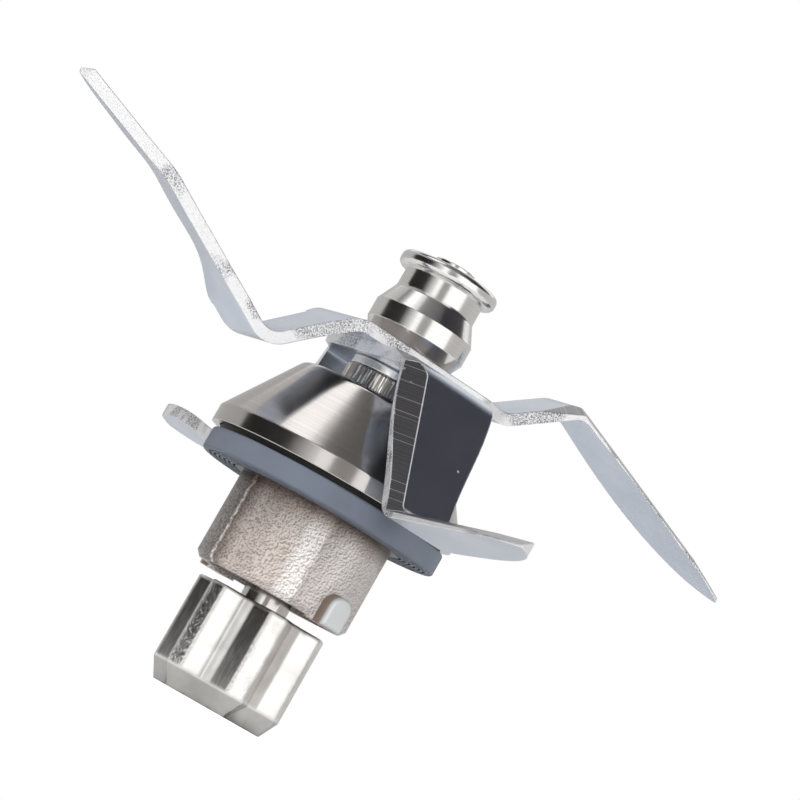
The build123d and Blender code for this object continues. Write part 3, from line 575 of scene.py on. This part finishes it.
# %% Cast and blasted steel
def cast_steel(name, corner_angle):
    """Blasted casting: pebble grain, painted light on corner and crease, a smooth strip, faced rim and lugs.
    """
    pebble_mm = 0.34
    beside_mm = (-0.09, -0.05, 0.09)
    steepest = 0.13
    grit_share = 0.3
    blasted_depth_mm = 0.13
    faced_depth_mm = 0.01
    rim_mm = (18.1, 18.0)
    edge_mm = 0.3
    material = new_material(name)
    place, split, radius = about_axis(material)
    up = split.outputs["Z"]
    step = tuple(length * MM for length in beside_mm)
    beside = node(material, "VectorMath", {0: place, 1: step}, operation="ADD")
    grains = {}
    for title, where, size_mm in (
        ("pebble", place, pebble_mm), ("pebble beside", beside, pebble_mm), ("grit", place, 0.14),
        ("cloud", place, 6), ("wobble", place, 1.0),
    ):
        grains[title] = node(material, "TexNoise", {"Vector": where, "Scale": 1 / (size_mm * MM)})

    painted_light_zones, smooth_strip = housing_painted_light(material, split, grains["wobble"], corner_angle)
    lug, lug_painted_shade = housing_lugs(material, up, radius)
    gasket_shadow = housing_gasket_shadow(material, up)
    rim = node(material, "MapRange", {"Value": up, "From Min": rim_mm[0] * MM, "From Max": rim_mm[1] * MM})
    faced = node(material, "Math", {0: lug, 1: rim}, operation="MAXIMUM")
    faced = node(material, "Math", {0: faced, 1: smooth_strip}, operation="MAXIMUM")

    warm = node(material, "ValToRGB", {"Fac": grains["cloud"]}, stops=[(0.3, "f7f4f2"), (0.7, "fdfcfb")])
    # Painted light and shade of the grain: the grain here less the grain beside it.
    slope = node(material, "Math", {0: grains["pebble"], 1: grains["pebble beside"]}, operation="SUBTRACT")
    slope = node(material, "MapRange", {"Value": slope, "From Min": -steepest, "From Max": steepest})
    painted_relief_shade = node(
        material, "ValToRGB", {"Fac": slope},
        stops=[(0.0, "b4aaa4"), (0.3, "d6d0cc"), (0.5, "ebe8e6"), (0.7, "f8f6f5"), (1.0, "ffffff")],
    )
    # Painted light and shade: the slopes of the grain, the light round the column and the shadow under the
    # gasket.
    shade = warm
    for layer in (painted_relief_shade, painted_light_zones, gasket_shadow):
        shade = node(
            material, "Mix", {"Factor": 1.0, COLOUR_A: shade, COLOUR_B: layer},
            data_type="RGBA", blend_type="MULTIPLY",
        ).outputs[MIXED_COLOUR]
    shade = node(
        material, "Mix", {"Factor": lug, COLOUR_A: shade, COLOUR_B: lug_painted_shade}, data_type="RGBA"
    ).outputs[MIXED_COLOUR]

    height = node(material, "Math", {0: grains["grit"], 1: grit_share}, operation="MULTIPLY")
    height = node(material, "Math", {0: height, 1: grains["pebble"]}, operation="ADD")
    depth = node(
        material, "MapRange",
        {"Value": faced, "To Min": blasted_depth_mm * MM, "To Max": faced_depth_mm * MM},
    )
    rounded = node(material, "Bevel", {"Radius": edge_mm * MM}, samples=BEVEL_SAMPLES)
    bump = node(material, "Bump", {"Height": height, "Strength": 0.8, "Distance": depth, "Normal": rounded})
    shader = node(
        material, "BsdfPrincipled",
        {"Base Color": shade, "Metallic": 0.55, "Roughness": 0.38, "Normal": bump},
    )
    return finish_material(material, shader)


housing_steel = cast_steel("cast stainless steel, blasted", corner_angle=12.2)

# %% [markdown]
# ## Rubber and plastic
# The gasket is moulded silicone rubber, blue-grey and matt with a faint mould texture. The ring above it is
# black plastic, whose black also stands in for the shade in the gap above the gasket. The seal in the
# housing is black rubber. Both stay in shadow and only need to be dark.
# The texture of a mould is finer than 0.1 mm and is drawn at 0.2 or 0.3 mm.

# %% Moulded rubber and plastic
def moulded(name, code, roughness, texture_mm, texture_depth_mm=0.01):
    """Moulded polymer with a fine mould texture and a little dust in the broad tone."""
    dust_mm = 6
    polymer_ior = 1.45
    material = new_material(name)
    place = node(material, "TexCoord").outputs["Object"]
    cloud = node(material, "TexNoise", {"Vector": place, "Scale": 1 / (dust_mm * MM), "Detail": 4.0})
    fine = node(material, "TexNoise", {"Vector": place, "Scale": 1 / (texture_mm * MM), "Detail": 3.0})
    tint = node(
        material, "MapRange",
        {"Value": cloud, "From Min": NOISE_LOW, "From Max": NOISE_HIGH, "To Min": 0.92, "To Max": 1.08},
    )
    shade = node(material, "VectorMath", {0: colour(code)[:3], "Scale": tint}, operation="SCALE")
    bump = node(material, "Bump", {"Height": fine, "Strength": 0.5, "Distance": texture_depth_mm * MM})
    shader = node(
        material, "BsdfPrincipled",
        {"Base Color": shade, "Roughness": roughness, "IOR": polymer_ior, "Normal": bump},
    )
    return finish_material(material, shader)


gasket_rubber = moulded("moulded silicone rubber, blue-grey", "666d79", 0.6, texture_mm=0.2)
# Its black is partly the ring's own colour and partly painted shade for the gap above the gasket.
black_plastic_gap_shade = moulded("moulded black plastic", "0b0b0d", 0.5, texture_mm=0.3)
black_rubber = moulded("moulded nitrile rubber", "141414", 0.6, texture_mm=0.2)
cage_plastic = moulded("moulded polyamide, natural", "c9bfa4", 0.5, texture_mm=0.3)

# %% [markdown]
# ## Bearing and spring steel
# The rings, balls and shields of the bearings are polished, the clips and springs are phosphated grey.
# They are hidden in the closed unit and show only from below.

# %% Inner steels
bearing_steel = ground_stainless(
    "polished bearing steel", "c8c8ca", 0.12, grain_mm=0.2, grain_depth_mm=0.001, draw=1
)
spring_steel = ground_stainless(
    "phosphated spring steel", "6e6c69", 0.4, grain_mm=0.25, grain_depth_mm=0.004, draw=1
)

# %% [markdown]
# ## Dress the solids
# Each CAD node keeps its shape and gets its finish in its material slot.

# %% Give every node its finish
finishes = {
    "hub_knob": knob_steel, "blade_washer": knob_steel, "cone_cover": cone_steel,
    "upper_blade": upper_blade_steel, "lower_blade": lower_blade_steel, "blade_collar": collar_steel,
    "drive_coupling": coupling_steel, "coupling_screw": coupling_steel,
    "drive_shaft": shaft_steel, "bearing_spacer": shaft_steel, "bearing_housing": housing_steel,
    "jug_gasket": gasket_rubber, "seal_spacer_ring": black_plastic_gap_shade, "shaft_lip_seal": black_rubber,
    "seal_spring": spring_steel, "wave_washer": spring_steel,
    "housing_circlip": spring_steel, "shaft_retaining_ring": spring_steel,
}
for place in ("lower", "upper"):
    for piece in ("inner_ring", "outer_ring", "balls", "shields"):
        finishes[place + "_bearing_" + piece] = bearing_steel
    finishes[place + "_bearing_cage"] = cage_plastic
for name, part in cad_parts.items():
    part.data.materials.clear()
    part.data.materials.append(finishes[name])
print(len(finishes), "nodes dressed")

# %% [markdown]
# ## Studio
# A white world is what the camera and the reflections see, and a dimmer one lights the object. Steel shows
# its form only by what it mirrors, so, as a product photographer does, cards stand round the object, out of
# the picture and seen by reflections alone: dark and grey ones for the stripes in the metal, some that fade
# from one tone to another, and softboxes brighter than white. They are patches of a sphere about the
# object, given in degrees by azimuth from the camera and by elevation.

# %% World
world = bpy.data.worlds.new("white studio")
bpy.context.scene.world = world
world.use_nodes = True
world.node_tree.nodes.clear()
seen = node(world, "LightPath")
glossy_or_camera = node(
    world, "Math", {0: seen.outputs["Is Camera Ray"], 1: seen.outputs["Is Glossy Ray"]}, operation="MAXIMUM"
)
shown = node(
    world, "Math", {0: glossy_or_camera, 1: seen.outputs["Is Transmission Ray"]}, operation="MAXIMUM"
)
ambient = node(world, "Background", {"Color": colour("ffffff"), "Strength": 0.55})
backdrop = node(world, "Background", {"Color": colour("ffffff"), "Strength": 1.0})
studio = node(world, "MixShader", {0: shown, 1: ambient, 2: backdrop})
node(world, "OutputWorld", {"Surface": studio})
print("world ready")

# %% Cards that the steel mirrors
MIDDLE_HEIGHT = 0.035
CARD_REACH = 0.6
CARD_STEPS = 16


def card(name, azimuths, elevations, from_code, to_code=None, strength=1.0):
    """Patch of a sphere round the object, seen only in reflections. Azimuth 0 faces the camera, 90 is +X."""
    bm = bmesh.new()
    share_layer = bm.verts.layers.float.new("share")
    rows = []
    for i in range(CARD_STEPS + 1):
        azimuth = math.radians(azimuths[0] + (azimuths[1] - azimuths[0]) * i / CARD_STEPS)
        row = []
        for j in range(CARD_STEPS + 1):
            elevation = math.radians(elevations[0] + (elevations[1] - elevations[0]) * j / CARD_STEPS)
            corner = bm.verts.new((
                CARD_REACH * math.sin(azimuth) * math.cos(elevation),
                -CARD_REACH * math.cos(azimuth) * math.cos(elevation),
                CARD_REACH * math.sin(elevation) + MIDDLE_HEIGHT,
            ))
            corner[share_layer] = i / CARD_STEPS
            row.append(corner)
        rows.append(row)
    for row, next_row in zip(rows, rows[1:]):
        for j in range(CARD_STEPS):
            bm.faces.new((row[j], next_row[j], next_row[j + 1], row[j + 1]))
    mesh = bpy.data.meshes.new(name)
    bm.to_mesh(mesh)
    bm.free()
    made = bpy.data.objects.new(name, mesh)
    bpy.context.scene.collection.objects.link(made)
    material = new_material(name)
    share = node(material, "Attribute", attribute_name="share").outputs["Fac"]
    tone = node(material, "ValToRGB", {"Fac": share}, stops=[(0.0, from_code), (1.0, to_code or from_code)])
    light = node(material, "Emission", {"Color": tone, "Strength": strength})
    mesh.materials.append(finish_material(material, light))
    made.visible_camera = False
    made.visible_diffuse = False
    made.visible_shadow = False
    made.visible_transmission = False


card("card_left", (-102, -50), (-12, 28), "2a2828")
card("card_left_fade", (-50, -22), (-12, 28), "2a2828", "ffffff")
card("card_left_grey", (-142, -40), (28, 45), "dcdbda", "8a8886")
card("card_left_grey_near", (-99, -40), (45, 50), "a6a5a4", "8e8d8c")
card("card_left_high", (-142, -99), (45, 79), "7a7878", "0a0a0b")
card("softbox_left_high", (-97, -60), (52, 79), "ffffff", strength=1.7)
card("card_top_front", (-60, 42), (67, 79), "7b7876", "636060")
card("card_top", (-180, 180), (79.5, 89), "4f4c4b")
card("card_behind_high", (118, 218), (58, 79), "8a8785")
card("card_front", (-9, 13), (-12, 40), "a5a3a1")
card("card_front_high", (-40, 42), (42, 66), "8e8d8c", "5a595b")
card("card_right", (66, 100), (-12, 28), "c6c4c2")
card("card_right_high", (42, 118), (28, 79), "37353a", "4a474c")
card("card_behind_left", (-180, -102), (-12, 28), "c4c3c2")
card("card_behind_right", (100, 180), (-12, 28), "cccbca")
card("softbox_left", (-22, -9), (-12, 28), "ffffff", strength=1.35)
card("softbox_right", (13, 66), (-12, 28), "ffffff", strength=1.35)

# %% [markdown]
# ## Floor and lamps
# The floor is pale and keeps the object's shadow. Seen by the camera it also glows a little, so that its
# open part is as white as the backdrop. It lies a tenth of a millimetre low, clear of the coupling's end.
# Two soft lamps model the rubber and the casting. The metal doesn't mirror them.

# %% Floor
FLOOR_HALF = 1.5
FLOOR_DROP = 0.0001
floor_mesh = bpy.data.meshes.new("floor")
floor_mesh.from_pydata(
    [
        (-FLOOR_HALF, -FLOOR_HALF, 0), (FLOOR_HALF, -FLOOR_HALF, 0),
        (FLOOR_HALF, FLOOR_HALF, 0), (-FLOOR_HALF, FLOOR_HALF, 0),
    ],
    [], [(0, 1, 2, 3)],
)
floor = bpy.data.objects.new("floor", floor_mesh)
floor.location.z = -FLOOR_DROP
bpy.context.scene.collection.objects.link(floor)
floor_paper = new_material("floor, matt white paper")
floor_seen = node(floor_paper, "LightPath")
paper = node(floor_paper, "BsdfDiffuse", {"Color": colour("e6e6e6")})
glow = node(floor_paper, "Emission", {"Color": colour("ffffff"), "Strength": 0.45})
both = node(floor_paper, "AddShader", {0: paper, 1: glow})
surface = node(floor_paper, "MixShader", {0: floor_seen.outputs["Is Camera Ray"], 1: paper, 2: both})
floor_mesh.materials.append(finish_material(floor_paper, surface))

# %% Lamps
LAMP_SIZE = 0.35


def soft_lamp(name, place, power):
    """Square area lamp that faces the object."""
    data = bpy.data.lights.new(name, "AREA")
    data.energy = power
    data.size = LAMP_SIZE
    made = bpy.data.objects.new(name, data)
    made.location = place
    aim = Vector((0, 0, MIDDLE_HEIGHT)) - Vector(place)
    made.rotation_euler = aim.to_track_quat("-Z", "Y").to_euler()
    made.visible_glossy = False
    bpy.context.scene.collection.objects.link(made)
    print("lamp", name, power, "W")


soft_lamp("key", (-0.25, -0.55, 0.55), 5.0)
soft_lamp("side", (0.6, -0.35, 0.25), 2.0)

# %% [markdown]
# ## Camera
# The photograph was taken with a long lens from slightly below the horizon and rolled, so the unit leans
# in the picture while it stands upright here. The pose was fitted to the CAD outlines.

# %% Camera
lens_mm, sensor_mm = 140.04, 36.0
distance = 0.4245
yaw, pitch, roll = 0.0054564, 0.1162010, 0.5177798
forward = Vector((math.sin(yaw) * math.cos(pitch), math.cos(yaw) * math.cos(pitch), math.sin(pitch)))
right = Vector((math.cos(yaw), -math.sin(yaw), 0))
up = right.cross(forward)
across = math.cos(roll) * right + math.sin(roll) * up
upright = -math.sin(roll) * right + math.cos(roll) * up
camera_data = bpy.data.cameras.new("photo camera")
camera_data.lens = lens_mm
camera_data.sensor_width = sensor_mm
camera_data.clip_start = 0.01
camera = bpy.data.objects.new("photo camera", camera_data)
turn = Matrix((across, upright, -forward)).transposed().to_4x4()
camera.matrix_world = Matrix.Translation((0, -distance, 0)) @ turn
bpy.context.scene.collection.objects.link(camera)
bpy.context.scene.camera = camera
bpy.context.scene.view_settings.view_transform = "Standard"
print("camera", lens_mm, "mm at", distance, "m")
